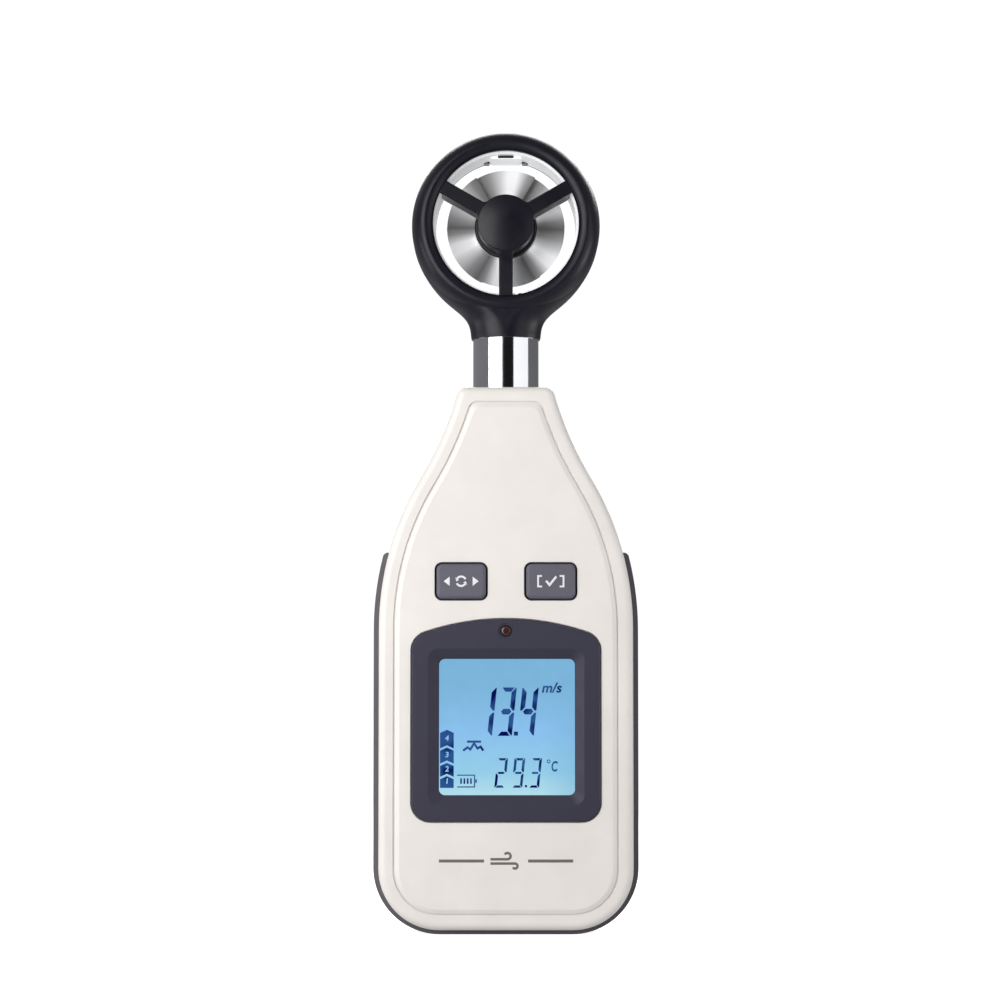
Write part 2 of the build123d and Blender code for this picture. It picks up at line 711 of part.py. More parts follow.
def head_flare():
    """Blend from the round neck up to the ring."""
    top = -HEAD_RADIUS * sin(radians(FLARE_MEETS))
    steps = 9
    sections = []
    for step in range(steps):
        part_way = step / (steps - 1)
        z = FLARE_LOW + (top - FLARE_LOW) * part_way
        depth = 7.1 + 0.3 * part_way
        corner = FLARE_LOW_CORNER + (FLARE_CORNER - FLARE_LOW_CORNER) * part_way
        sections.append(Pos(0, 0, z) * RectangleRounded(2 * flare_half(z), 2 * depth, corner))
    return loft(sections)


def lead_path():
    """Down the side of the ring, a reverse curve into the neck, and straight down."""
    drop = sqrt(3) * LEAD_RING
    straight = Line((0, LEAD_END_Z - HEAD_Z), (0, -drop))
    entry = CenterArc((LEAD_RING, -drop), LEAD_RING, 180, -60)
    around = CenterArc((0, 0), LEAD_RING, -60, 60 + LEAD_START)
    return front_plane(LEAD_Y) * Wire([straight, entry, around])


def lead_tube(radius):
    path = lead_path()
    return sweep(Plane(origin=path @ 0, z_dir=path % 0) * Circle(radius), path=path)


def head_ring():
    """Ring and flare in one moulding, with an inner channel that the liner closes."""
    ring = turned(ring_section())
    flare = head_flare() - disc(CREST_RADIUS, -20, 20)
    housing = ring + flare
    channel = disc(CHANNEL_RADIUS, CHANNEL_FRONT, CHANNEL_BACK)
    housing -= channel
    housing -= disc(LINER_OUTER, LIP_FRONT, 20)
    housing -= rod(TUBE_RADIUS + 0.02, FLARE_LOW, TUBE_HIGH - HEAD_Z)
    housing -= lead_tube(LEAD_RADIUS + 0.5)
    return housing


def rear_clips(gap):
    """Two blocks on the rear guard's rim that sit in notches in the liner."""
    across = (-CLIP_HALF - gap, CLIP_HALF + gap)
    low = sqrt(LINER_INNER**2 - CLIP_X**2) - CLIP_REACH
    clip = block(across, (LINER_BACK - CLIP_DEPTH, REAR_GUARD_BACK), (low, LINER_OUTER))
    inside = disc(LINER_OUTER, LINER_BACK - CLIP_DEPTH, REAR_GUARD_BACK)
    return [Pos(x, 0, 0) * clip & inside for x in (-CLIP_X, CLIP_X)]


def duct_liner():
    """Thin pale sleeve, with the pickup's housing, two rear notches and the bead's hole."""
    liner = disc(LINER_OUTER, LINER_FRONT, LINER_BACK) - disc(LINER_INNER, LINER_FRONT, LINER_BACK)
    housing = block((-HOUSING_HALF, HOUSING_HALF), (HOUSING_FRONT, LINER_BACK), (HOUSING_LOW, LINER_OUTER))
    liner += housing & disc(LINER_OUTER, HOUSING_FRONT, LINER_BACK)
    liner -= speed_sensor(CLIP_GAP)
    liner -= block((-EYE_HALF, EYE_HALF), (HOUSING_FRONT, HOUSING_FRONT + EYE_SET_BACK), (EYE_LOW, EYE_HIGH))
    for clip in rear_clips(CLIP_GAP):
        liner -= clip
    bead_gap = BEAD_RADIUS + 0.1
    liner -= block((BEAD_X - bead_gap, BEAD_X + bead_gap), (LINER_FRONT, BEAD_Y), (-16, -12))
    return liner - rod(bead_gap, -16, -12, BEAD_X, BEAD_Y)


def spoke(width, reach, front, back, angle):
    bar = block((0, reach), (front, back), (-width / 2, width / 2))
    return Rot(0, -angle, 0) * bar


def guard_outline():
    """Hub and three spokes, with hollow corners where they meet."""
    bar = Pos(CREST_RADIUS / 2, 0) * Rectangle(CREST_RADIUS, SPOKE_WIDTH)
    outline = Circle(HUB_RADIUS)
    for angle in SPOKE_ANGLES:
        outline += Rot(0, 0, angle) * bar
    at_hub = [point for point in outline.vertices() if point.X**2 + point.Y**2 < (HUB_RADIUS + 1) ** 2]
    return fillet(at_hub, GUARD_CORNER)


def front_guard(ring):
    """Three deep spokes and a hub that holds the front bearing."""
    guard = slab(guard_outline(), SPOKE_FRONT, GUARD_BACK)
    guard = chamfer(guard.faces().sort_by(Axis.Y)[0].edges(), SPOKE_EDGE)
    in_duct = guard & disc(LINER_INNER, SPOKE_FRONT - 1, GUARD_BACK)
    feet = (guard & disc(CREST_RADIUS, SPOKE_FRONT - 1, LIP_FRONT)) - ring
    return in_duct + feet - disc(JEWEL_RADIUS, JEWEL_POCKET, GUARD_BACK)


def hub_cap():
    """Low dome in the middle of the guard."""
    radius = (HUB_RADIUS**2 + CAP_DOME**2) / (2 * CAP_DOME)
    ball = Pos(0, SPOKE_FRONT - CAP_DOME + radius, 0) * Sphere(radius)
    return ball & disc(HUB_RADIUS, SPOKE_FRONT - CAP_DOME - 1, SPOKE_FRONT)


def rear_guard():
    """Thin rim behind the liner, three bars and a hub that holds the rear bearing."""
    rim = disc(LINER_OUTER, LINER_BACK, REAR_GUARD_BACK) - disc(LINER_INNER, LINER_BACK, REAR_GUARD_BACK)
    hub = disc(REAR_HUB, REAR_GUARD_FRONT, REAR_GUARD_BACK + 0.4)
    bars = [spoke(REAR_SPOKE, LIP_RADIUS, REAR_GUARD_FRONT, REAR_GUARD_BACK, angle) for angle in SPOKE_ANGLES]
    inside = disc(LINER_INNER, REAR_GUARD_FRONT, REAR_GUARD_BACK)
    guard = joined([hub, *[bar & inside for bar in bars], rim, *rear_clips(0)])
    return guard - disc(JEWEL_RADIUS, REAR_GUARD_FRONT, REAR_GUARD_BACK)


def jewel(front):
    back = front + JEWEL_THICK
    return disc(JEWEL_RADIUS, front, back) - disc(JEWEL_BORE, front, back)


def blade():
    """One twisted sheet: it sinks from the front to the back as it goes round."""
    width = BLADE_TIP + 0.4 - BLADE_ROOT
    sections = []
    for step in range(5):
        part_way = step / 4
        angle = radians(BLADE_SPAN * part_way)
        depth = BLADE_FRONT + (BLADE_BACK - BLADE_FRONT) * part_way
        out = Vector(cos(angle), 0, sin(angle))
        across = Plane(origin=(0, depth, 0), x_dir=out, z_dir=(-sin(angle), 0, cos(angle)))
        sections.append(across * Pos(BLADE_ROOT + width / 2, 0) * Rectangle(width, BLADE_SHEET))
    return loft(sections) & disc(BLADE_TIP, WHEEL_FRONT - 1, WHEEL_BACK + 1)


def vane_blades():
    first = blade()
    wheel = disc(BLADE_ROOT + 0.2, WHEEL_FRONT + 0.1, WHEEL_BACK - 0.1)
    wheel -= disc(WHEEL_HUB, WHEEL_FRONT, WHEEL_BACK)
    for number in range(BLADE_COUNT):
        wheel += Rot(0, 360 / BLADE_COUNT * number, 0) * first
    return wheel


def vane_hub():
    hub = disc(WHEEL_HUB, WHEEL_FRONT, WHEEL_BACK)
    hub = chamfer(hub.faces().sort_by(Axis.Y)[0].edges(), 0.3)
    return hub - disc(SHAFT_RADIUS, WHEEL_FRONT, WHEEL_BACK)


def vane_shaft():
    return disc(SHAFT_RADIUS, SHAFT_FRONT, REAR_GUARD_BACK - 0.2)


def thermistor():
    bead = rod(BEAD_RADIUS, -15.6, BEAD_TOP - BEAD_RADIUS, BEAD_X, BEAD_Y)
    return bead + Pos(BEAD_X, BEAD_Y, BEAD_TOP - BEAD_RADIUS) * Sphere(BEAD_RADIUS)


def speed_sensor(gap):
    """Pickup that looks forward out of its housing, on a foot that stands on the sensor board."""
    across = (-EYE_HALF - gap, EYE_HALF + gap)
    back = SENSOR_BACK + gap
    eye = block(across, (HOUSING_FRONT + EYE_SET_BACK - gap, back), (EYE_LOW - gap, EYE_HIGH + gap))
    return eye + block(across, (SENSOR_FOOT_FRONT - gap, back), (EYE_LOW - gap, SENSOR_TOP))


def sensor_board():
    return block((-4.4, 4.4), (CHANNEL_FRONT + 0.4, CHANNEL_BACK - 0.3), (SENSOR_TOP, 16.5))


# ---------------------------------------------------------------- all pieces


def case_pieces():
    grip = rear_grip()
    return {
        "front_cover": front_cover(),
        "rear_cover": rear_cover(grip),
        "rear_grip": grip,
        "battery_door": battery_door(),
        "tripod_insert": tripod_insert(),
        "case_screws": case_screws(),
    }


def display_pieces():
    return {
        "display_bezel": display_bezel(),
        "display_window": display_window(),
        "lcd_glass": lcd_glass(),
        "lcd_backlight": lcd_backlight(),
        "lcd_connector": lcd_connector(),
        "lcd_holder": lcd_holder(),
        "indicator_lens": indicator_lens(),
        "indicator_led": indicator_led(),
    }


def key_pieces():
    pieces = {}
    for name, x in (("mode", -KEY_X), ("set", KEY_X)):
        pieces[f"{name}_button"] = key_cap(x)
        pieces[f"{name}_plunger"] = plunger(x)
        pieces[f"{name}_switch"] = switch_case(x)
    return pieces


def inner_pieces():
    pieces = {
        "main_board": main_board(),
        "processor": processor(),
        "board_parts": board_parts(),
        "head_connector": head_connector(),
        "battery_tray": battery_tray(),
        "battery_springs": battery_springs(),
        "battery_plates": battery_plates(),
    }
    for number, place in enumerate(cell_positions(), start=1):
        pieces[f"battery_cell_{number}"] = battery_cell(*place)
    return pieces


def head_pieces():
    ring = head_ring()
    own_frame = {
        "head_ring": ring,
        "duct_liner": duct_liner(),
        "front_guard": front_guard(ring),
        "hub_cap": hub_cap(),
        "rear_guard": rear_guard(),
        "front_jewel": jewel(FRONT_JEWEL),
        "rear_jewel": jewel(REAR_GUARD_FRONT),
        "vane_blades": vane_blades(),
        "vane_hub": vane_hub(),
        "vane_shaft": vane_shaft(),
        "thermistor": thermistor(),
        "speed_sensor": speed_sensor(0),
        "sensor_board": sensor_board(),
        "head_lead": lead_tube(LEAD_RADIUS),
    }
    pieces = {name: at_head(solid) for name, solid in own_frame.items()}
    pieces["neck_tube"] = neck_tube()
    pieces["neck_collar"] = neck_collar()
    return pieces


def main():
    os.makedirs("parts", exist_ok=True)
    makers = (case_pieces, display_pieces, key_pieces, inner_pieces, head_pieces)
    for maker in makers:
        for name, shape in maker().items():
            export_step(shape, f"parts/{name}.step")


main()
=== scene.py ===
import json
from math import cos, pi, radians, sin

import bmesh
import bpy
from mathutils import Matrix, Vector


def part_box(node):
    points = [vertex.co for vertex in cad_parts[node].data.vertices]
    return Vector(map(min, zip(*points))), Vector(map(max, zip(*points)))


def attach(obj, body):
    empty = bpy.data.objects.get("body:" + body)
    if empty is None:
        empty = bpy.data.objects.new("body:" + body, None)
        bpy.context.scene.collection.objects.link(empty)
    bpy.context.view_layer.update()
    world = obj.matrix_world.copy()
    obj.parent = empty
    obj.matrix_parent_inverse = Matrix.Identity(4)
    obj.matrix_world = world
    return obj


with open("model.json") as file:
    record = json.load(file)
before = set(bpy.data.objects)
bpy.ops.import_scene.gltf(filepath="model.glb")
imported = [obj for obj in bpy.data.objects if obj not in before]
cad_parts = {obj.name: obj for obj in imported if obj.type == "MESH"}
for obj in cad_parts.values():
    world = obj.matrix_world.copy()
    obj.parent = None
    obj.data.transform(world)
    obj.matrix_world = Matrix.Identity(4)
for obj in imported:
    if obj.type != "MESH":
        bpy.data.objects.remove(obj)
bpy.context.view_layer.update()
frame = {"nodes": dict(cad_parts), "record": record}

MM = 0.001


# ---------------------------------------------------------------- places, from the frame


def low(node):
    return Vector(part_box(node)[0])


def high(node):
    return Vector(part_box(node)[1])


def middle(node):
    return (low(node) + high(node)) / 2


PANEL_FRONT = low("front_cover").y
WINDOW = middle("display_window")
WINDOW_LAND = 1.0 * MM  # how far the pane runs on behind the bezel
WINDOW_HALF = (high("display_window").x - low("display_window").x) / 2 - WINDOW_LAND
INK_FRONT = high("display_window").y + 0.12 * MM
INK_BACK = low("lcd_glass").y - 0.04 * MM
WHEEL = middle("vane_blades")


# ---------------------------------------------------------------- colours


def srgb(red, green, blue):
    """Linear colour from 0-255 display values."""
    linear = []
    for value in (red, green, blue):
        value = value / 255
        linear.append(value / 12.92 if value <= 0.04045 else ((value + 0.055) / 1.055) ** 2.4)
    return (*linear, 1.0)


CREAM = srgb(239, 234, 229)
GRIP = srgb(90, 86, 94)
BEZEL = srgb(53, 51, 68)
KEY = srgb(96, 95, 108)
HEAD = srgb(14, 12, 27)
GUARD = srgb(12, 10, 24)
LINER = srgb(250, 252, 253)
SILVER = (0.94, 0.94, 0.96, 1.0)
CHROME = (0.90, 0.91, 0.94, 1.0)
ROOM = 0.34  # how bright the room around the object is
PAINTED_GLOW = 0.22  # painted glow of the pale duct and its wheel, which give off light though neither is a lamp
LCD_TOP = srgb(122, 179, 216)
LCD_MIDDLE = srgb(137, 191, 236)
LCD_LOWER = srgb(148, 205, 232)
LCD_LOW = srgb(178, 222, 234)
INK_DARK = srgb(5, 18, 88)
INK_PALE = srgb(46, 88, 152)
SLEEVE = srgb(52, 56, 66)
SLEEVE_RING = srgb(196, 120, 62)
BARE_METAL = srgb(190, 190, 192)
PRINT_WHITE = srgb(238, 240, 244)
PRINT_GREY = srgb(112, 107, 106)
DIFFUSER = srgb(200, 226, 245)
STRIP_RUBBER = srgb(150, 150, 154)
WHITE_PLASTIC = srgb(226, 226, 222)
LENS_RED = srgb(66, 38, 41)
LED_PINK = srgb(190, 90, 90)
SWITCH_BLACK = srgb(38, 38, 42)
CHIP_BLACK = srgb(30, 30, 32)
TRAY_BLACK = srgb(40, 40, 44)
VANE_BLACK = srgb(24, 24, 27)
BEAD_BLACK = srgb(22, 22, 23)
LEAD_BLACK = srgb(30, 30, 31)
JEWEL_RED = srgb(170, 40, 70)
BOARD_DARK = srgb(16, 78, 44)
BOARD_LIGHT = srgb(30, 104, 60)
TINNED = (0.62, 0.56, 0.46, 1.0)
NICKEL = (0.78, 0.76, 0.72, 1.0)
BRASS = (0.80, 0.58, 0.28, 1.0)
STEEL = (0.58, 0.58, 0.60, 1.0)


# ---------------------------------------------------------------- material building


materials = {}  # each material by its slot


class Surface:
    """One material's node tree, built up a node at a time in object coordinates."""

    def __init__(self, slot):
        self.material = bpy.data.materials.new(slot)
        materials[slot] = self.material
        self.material.use_nodes = True
        self.tree = self.material.node_tree
        self.shader = self.tree.nodes["Principled BSDF"]
        self.place = self.node("ShaderNodeTexCoord").outputs["Object"]

    def node(self, kind, **settings):
        made = self.tree.nodes.new(kind)
        for key, value in settings.items():
            setattr(made, key, value)
        return made

    def link(self, source, target):
        self.tree.links.new(source, target)

    def set(self, **values):
        for key, value in values.items():
            self.shader.inputs[key.replace("_", " ")].default_value = value

    def noise(self, scale, detail=4.0, stretch=(1, 1, 1), roughness=0.55):
        """Noise whose scale is in cells per metre."""
        mapped = self.node("ShaderNodeMapping")
        mapped.inputs["Scale"].default_value = stretch
        self.link(self.place, mapped.inputs["Vector"])
        texture = self.node("ShaderNodeTexNoise")
        texture.inputs["Scale"].default_value = scale
        texture.inputs["Detail"].default_value = detail
        texture.inputs["Roughness"].default_value = roughness
        self.link(mapped.outputs["Vector"], texture.inputs["Vector"])
        return texture.outputs["Fac"]

    def spread(self, source, low_value, high_value, start=0.3, end=0.7):
        """The source from start to end, spread over a new range."""
        made = self.node("ShaderNodeMapRange")
        made.inputs["From Min"].default_value = start
        made.inputs["From Max"].default_value = end
        made.inputs["To Min"].default_value = low_value
        made.inputs["To Max"].default_value = high_value
        self.link(source, made.inputs["Value"])
        return made.outputs["Result"]

    def mix(self, amount, first, second, blend="MIX"):
        """A colour mix: each of first and second is a colour or an output."""
        made = self.node("ShaderNodeMix", data_type="RGBA", blend_type=blend)
        for socket, value in ((made.inputs[0], amount), (made.inputs[6], first), (made.inputs[7], second)):
            if isinstance(value, bpy.types.NodeSocket):
                self.link(value, socket)
            else:
                socket.default_value = value
        return made.outputs[2]

    def maths(self, operation, first, second=0.0):
        made = self.node("ShaderNodeMath", operation=operation)
        for socket, value in zip(made.inputs, (first, second)):
            if isinstance(value, bpy.types.NodeSocket):
                self.link(value, socket)
            else:
                socket.default_value = value
        return made.outputs[0]

    def grey(self, source):
        """One value as all three channels of a colour."""
        made = self.node("ShaderNodeCombineColor")
        for socket in made.inputs:
            self.link(source, socket)
        return made.outputs[0]

    def coordinates(self):
        split = self.node("ShaderNodeSeparateXYZ")
        self.link(self.place, split.inputs[0])
        return split.outputs

    def edge(self, radius):
        """1 along sharp edges and 0 on faces; the second value is the rounded normal."""
        bevel = self.node("ShaderNodeBevel", samples=4)
        bevel.inputs["Radius"].default_value = radius
        flat = self.node("ShaderNodeNewGeometry").outputs["Normal"]
        agree = self.node("ShaderNodeVectorMath", operation="DOT_PRODUCT")
        self.link(bevel.outputs[0], agree.inputs[0])
        self.link(flat, agree.inputs[1])
        return self.spread(agree.outputs["Value"], 1.0, 0.0, 0.7, 0.99), bevel.outputs[0]

    def bump(self, height, depth, normal=None):
        made = self.node("ShaderNodeBump")
        made.inputs["Distance"].default_value = depth
        self.link(height, made.inputs["Height"])
        if normal is not None:
            self.link(normal, made.inputs["Normal"])
        return made.outputs["Normal"]

    def finish(self, colour, roughness, normal):
        for source, name in ((colour, "Base Color"), (roughness, "Roughness"), (normal, "Normal")):
            self.link(source, self.shader.inputs[name])


def colour_stops(ramp, stops):
    """Sets a colour ramp's stops from (position, colour) pairs."""
    elements = ramp.color_ramp.elements
    for number, (position, colour) in enumerate(stops):
        if number >= len(elements):
            elements.new(position)
        elements[number].position = position
        elements[number].color = colour


def scaled(colour, factor):
    return (*[min(1.0, channel * factor) for channel in colour[:3]], 1.0)


def moulded(slot, colour, roughness, grain=5000, depth=0.006, edge=0.15, edge_wear_and_highlight_tone=1.25, **shader):
    """Moulded plastic or rubber: fine texture, faint mottling, softened edges, and edges painted paler,
    partly as rubbed wear and partly as a painted highlight.
    """
    darker, paler, wear_and_highlight_share = 0.965, 1.03, 0.5
    surface = Surface(slot)
    mottle = surface.noise(90, 3.0)
    tone = surface.mix(surface.spread(mottle, 0, 1), scaled(colour, darker), scaled(colour, paler))
    edge_wear_and_highlight, rounded = surface.edge(edge * MM)
    # Edges painted paler: partly rubbed wear, partly a painted highlight along every edge.
    tone = surface.mix(surface.maths("MULTIPLY", edge_wear_and_highlight, wear_and_highlight_share), tone, scaled(colour, edge_wear_and_highlight_tone))
    polish = surface.spread(surface.noise(350, 5.0), roughness - 0.05, roughness + 0.06)
    normal = surface.bump(surface.noise(grain, 2.0), depth * MM, rounded)
    surface.set(**shader)
    surface.finish(tone, polish, normal)


def metal(slot, colour, roughness):
    """Machined or plated metal with fine marks, darker smudges and softened edges."""
    grain, depth, smudged, edge = 3000, 0.002, 0.88, 0.08
    surface = Surface(slot)
    smudge = surface.noise(240, 4.0)
    tone = surface.mix(surface.spread(smudge, 0, 1), scaled(colour, smudged), colour)
    marks = surface.noise(grain, 3.0)
    polish = surface.spread(marks, roughness * 0.75, roughness * 1.3)
    surface.set(Metallic=1.0)
    surface.finish(tone, polish, surface.bump(marks, depth * MM, surface.edge(edge * MM)[1]))


def lit_display():
    """Light guide's glow through the display: bright at the foot, falling off to the top and right."""
    surface = Surface("lcd_blue")
    x, _, z = surface.coordinates()
    up = surface.spread(z, 0, 1, WINDOW.z - WINDOW_HALF, WINDOW.z + WINDOW_HALF)
    ramp = surface.node("ShaderNodeValToRGB")
    colour_stops(ramp, ((0.0, LCD_LOW), (0.16, LCD_LOWER), (0.45, LCD_MIDDLE), (0.8, LCD_TOP)))
    surface.link(up, ramp.inputs[0])
    right = surface.spread(x, 0, 0.5, WINDOW.x + WINDOW_HALF * 0.5, WINDOW.x + WINDOW_HALF)
    glow = surface.mix(right, ramp.outputs[0], LCD_TOP)
    cells = surface.spread(surface.noise(400, 2.0), 0.98, 1.02)
    glow = surface.mix(1.0, glow, surface.grey(cells), "MULTIPLY")
    surface.link(glow, surface.shader.inputs["Emission Color"])
    surface.set(Base_Color=(0.01, 0.015, 0.02, 1), Emission_Strength=1.0)
    surface.set(Roughness=0.6, Specular_IOR_Level=0.0)


def display_ink():
    """Dark segments, stronger in some places than in others."""
    surface = Surface("lcd_ink")
    strength = surface.spread(surface.noise(260, 1.0), 0, 1, 0.42, 0.58)
    tone = surface.mix(strength, INK_DARK, INK_PALE)
    surface.link(tone, surface.shader.inputs["Emission Color"])
    surface.set(Base_Color=(0.0, 0.0, 0.0, 1), Emission_Strength=0.9)
    surface.set(Roughness=0.7, Specular_IOR_Level=0.0)


def clear_pane():
    """Clear window: lets light straight through. Its soft sheen is strongest at a low angle."""
    surface = Surface("window_clear")
    through = surface.node("ShaderNodeBsdfTransparent")
    gloss = surface.node("ShaderNodeBsdfGlossy")
    surface.link(surface.spread(surface.noise(200, 3.0), 0.06, 0.12), gloss.inputs["Roughness"])
    fresnel = surface.node("ShaderNodeFresnel")
    fresnel.inputs["IOR"].default_value = 1.2
    mixed = surface.node("ShaderNodeMixShader")
    backfacing = surface.node("ShaderNodeNewGeometry").outputs["Backfacing"]
    sheen = surface.maths("MULTIPLY", fresnel.outputs[0], surface.maths("SUBTRACT", 1.0, backfacing))
    surface.link(sheen, mixed.inputs[0])
    surface.link(through.outputs[0], mixed.inputs[1])
    surface.link(gloss.outputs[0], mixed.inputs[2])
    output = surface.tree.nodes["Material Output"]
    surface.link(mixed.outputs[0], output.inputs["Surface"])


def turned_silver_with_painted_light():
    """Vane blades: lacquered metal brushed round the axle, with a painted sheen that rises quickly after
    each blade's edge and fades slowly, and painted shade where each runs under the next; they also give off
    a painted glow.
    """
    surface = Surface("vane_silver")
    x, _, z = surface.coordinates()
    across = surface.maths("SUBTRACT", x, WHEEL.x)
    up = surface.maths("SUBTRACT", z, WHEEL.z)
    turn = surface.maths("ARCTAN2", up, across)
    sixth = surface.maths("FRACT", surface.maths("DIVIDE", surface.maths("ADD", turn, 2 * pi), pi / 3))
    # Painted sheen and shade: grey by the place within each blade's sixth of a turn, bright after its front
    # edge and dark where it runs under the next blade.
    ramp = surface.node("ShaderNodeValToRGB")
    sheen = ((0.0, 0.14), (0.12, 0.3), (0.3, 0.95), (0.45, 1.0), (0.6, 0.7), (0.8, 0.32), (1.0, 0.14))
    colour_stops(ramp, [(position, (grey, grey, grey, 1)) for position, grey in sheen])
    surface.link(sixth, ramp.inputs[0])
    out = surface.maths("SQRT", surface.maths("ADD", surface.maths("MULTIPLY", across, across),
                                              surface.maths("MULTIPLY", up, up)))
    rings = surface.node("ShaderNodeTexNoise", noise_dimensions="1D")
    rings.inputs["Scale"].default_value = 9000
    rings.inputs["Detail"].default_value = 3
    surface.link(out, rings.inputs["W"])
    lines = surface.spread(rings.outputs["Fac"], 0.86, 1.0)
    tone = surface.mix(1.0, ramp.outputs[0], surface.grey(lines), "MULTIPLY")
    tone = surface.mix(1.0, tone, SILVER, "MULTIPLY")
    polish = surface.spread(rings.outputs["Fac"], 0.36, 0.5)
    # Painted glow: the blades give off their painted tone as light of their own.
    surface.link(tone, surface.shader.inputs["Emission Color"])
    surface.set(Metallic=0.0, Emission_Strength=PAINTED_GLOW)
    surface.finish(tone, polish, surface.bump(rings.outputs["Fac"], 0.002 * MM))


def fibreglass_board():
    surface = Surface("board_green")
    weave = surface.noise(2600, 2.0, (1, 1, 0.2))
    tone = surface.mix(surface.spread(weave, 0, 1), BOARD_DARK, BOARD_LIGHT)
    surface.finish(tone, surface.spread(weave, 0.25, 0.4), surface.bump(weave, 0.01 * MM))


def chrome():
    """Polished tube with very fine draw marks along its length."""
    surface = Surface("tube_chrome")
    marks = surface.noise(4000, 2.0, (1, 1, 0.02))
    haze = surface.noise(180, 4.0)
    surface.set(Metallic=1.0)
    tone = surface.mix(surface.spread(haze, 0, 1), scaled(CHROME, 0.95), CHROME)
    surface.finish(tone, surface.spread(haze, 0.05, 0.1), surface.bump(marks, 0.0004 * MM))


def sleeve():
    """Battery's printed sleeve: dark, with two copper rings and bare metal at both ends."""
    surface = Surface("cell_can")
    cell = middle("battery_cell_2")
    half = (high("battery_cell_2").z - low("battery_cell_2").z) / 2
    _, _, z = surface.coordinates()
    out = surface.maths("ABSOLUTE", surface.maths("DIVIDE", surface.maths("SUBTRACT", z, cell.z), half))
    ramp = surface.node("ShaderNodeValToRGB")
    ramp.color_ramp.interpolation = "CONSTANT"
    bands = ((0.0, SLEEVE), (0.62, SLEEVE_RING), (0.68, SLEEVE), (0.93, BARE_METAL))
    colour_stops(ramp, bands)
    surface.link(out, ramp.inputs[0])
    wear = surface.noise(900, 4.0)
    shade = surface.mix(surface.spread(wear, 0, 0.12), ramp.outputs[0], scaled(SLEEVE, 0.5))
    surface.set(Metallic=0.5)
    polish = surface.spread(wear, 0.24, 0.4)
    surface.finish(shade, polish, surface.bump(surface.noise(2500, 2.0), 0.003 * MM))


def make_materials():
    """One material for each slot. Grain is in cells per metre; depth and edge are in millimetres."""
    moulded("case_cream", CREAM, roughness=0.42, grain=6000, depth=0.004, edge=0.2, edge_wear_and_highlight_tone=1.02)
    moulded("grip_dark", GRIP, roughness=0.62, grain=3600, depth=0.016, edge=0.2, edge_wear_and_highlight_tone=1.2)
    moulded("bezel_dark", BEZEL, roughness=0.5, edge=0.12, edge_wear_and_highlight_tone=1.3, Specular_IOR_Level=0.35)
    clear_pane()
    lit_display()
    moulded("diffuser", DIFFUSER, roughness=0.3)
    moulded("strip_rubber", STRIP_RUBBER, roughness=0.7)
    moulded("white_plastic", WHITE_PLASTIC, roughness=0.4)
    moulded("lens_red", LENS_RED, roughness=0.12, grain=900, depth=0.002, Coat_Weight=0.6)
    moulded("led_clear", LED_PINK, roughness=0.1, grain=900, depth=0.002, Transmission_Weight=0.6)
    moulded("key_grey", KEY, roughness=0.45, grain=4200, depth=0.008, edge=0.3, edge_wear_and_highlight_tone=1.7)
    moulded("switch_black", SWITCH_BLACK, roughness=0.4)
    fibreglass_board()
    moulded("chip_black", CHIP_BLACK, roughness=0.55)
    metal("parts_metal", TINNED, roughness=0.3)
    moulded("tray_black", TRAY_BLACK, roughness=0.5)
    metal("contact_metal", NICKEL, roughness=0.22)
    sleeve()
    metal("insert_brass", BRASS, roughness=0.25)
    metal("screw_steel", STEEL, roughness=0.3)
    moulded("head_black", HEAD, roughness=0.36, grain=5200, depth=0.004, edge=0.12, edge_wear_and_highlight_tone=1.3,
            Specular_IOR_Level=0.32)
    moulded("guard_black", GUARD, roughness=0.34, grain=5200, depth=0.004, edge=0.1, edge_wear_and_highlight_tone=2.0,
            Specular_IOR_Level=0.34)
    # Painted glow: the duct liner gives off light of its own, though it is no lamp.
    moulded("liner_pale", LINER, roughness=0.35, grain=3000, depth=0.003, edge=0.1, edge_wear_and_highlight_tone=1.0,
            Emission_Color=LINER, Emission_Strength=PAINTED_GLOW)
    moulded("jewel", JEWEL_RED, roughness=0.1, Transmission_Weight=0.5)
    turned_silver_with_painted_light()
    moulded("vane_black", VANE_BLACK, roughness=0.4)
    moulded("bead_black", BEAD_BLACK, roughness=0.25)
    moulded("lead_black", LEAD_BLACK, roughness=0.6)
    chrome()
    display_ink()
    moulded("print_white", PRINT_WHITE, roughness=0.5, depth=0.004)
    moulded("print_grey", PRINT_GREY, roughness=0.5, depth=0.004)


make_materials()
for part in frame["record"]["subparts"]:
    mesh = frame["nodes"][part["node"]].data
    mesh.materials.clear()
    mesh.materials.append(materials[part["material_slot"]])


# ---------------------------------------------------------------- thin printed pieces


LETTER_WEIGHT = 0.025  # how far letters are thickened, as a share of their size
MERGE = 1e-6  # points closer than this, in metres, become one
SHARPEST_MITRE = 0.4  # lowest cosine of half a corner's turn that its mitre follows


def add_prism(shape, outline, front, back):
    """Closed flat solid between two depths from an outline of (x, z)."""
    ahead = [shape.verts.new((x, front, z)) for x, z in outline]
    behind = [shape.verts.new((x, back, z)) for x, z in outline]
    shape.faces.new(ahead)
    shape.faces.new(behind[::-1])
    for number in range(len(outline)):
        after = (number + 1) % len(outline)
        shape.faces.new((ahead[after], ahead[number], behind[number], behind[after]))


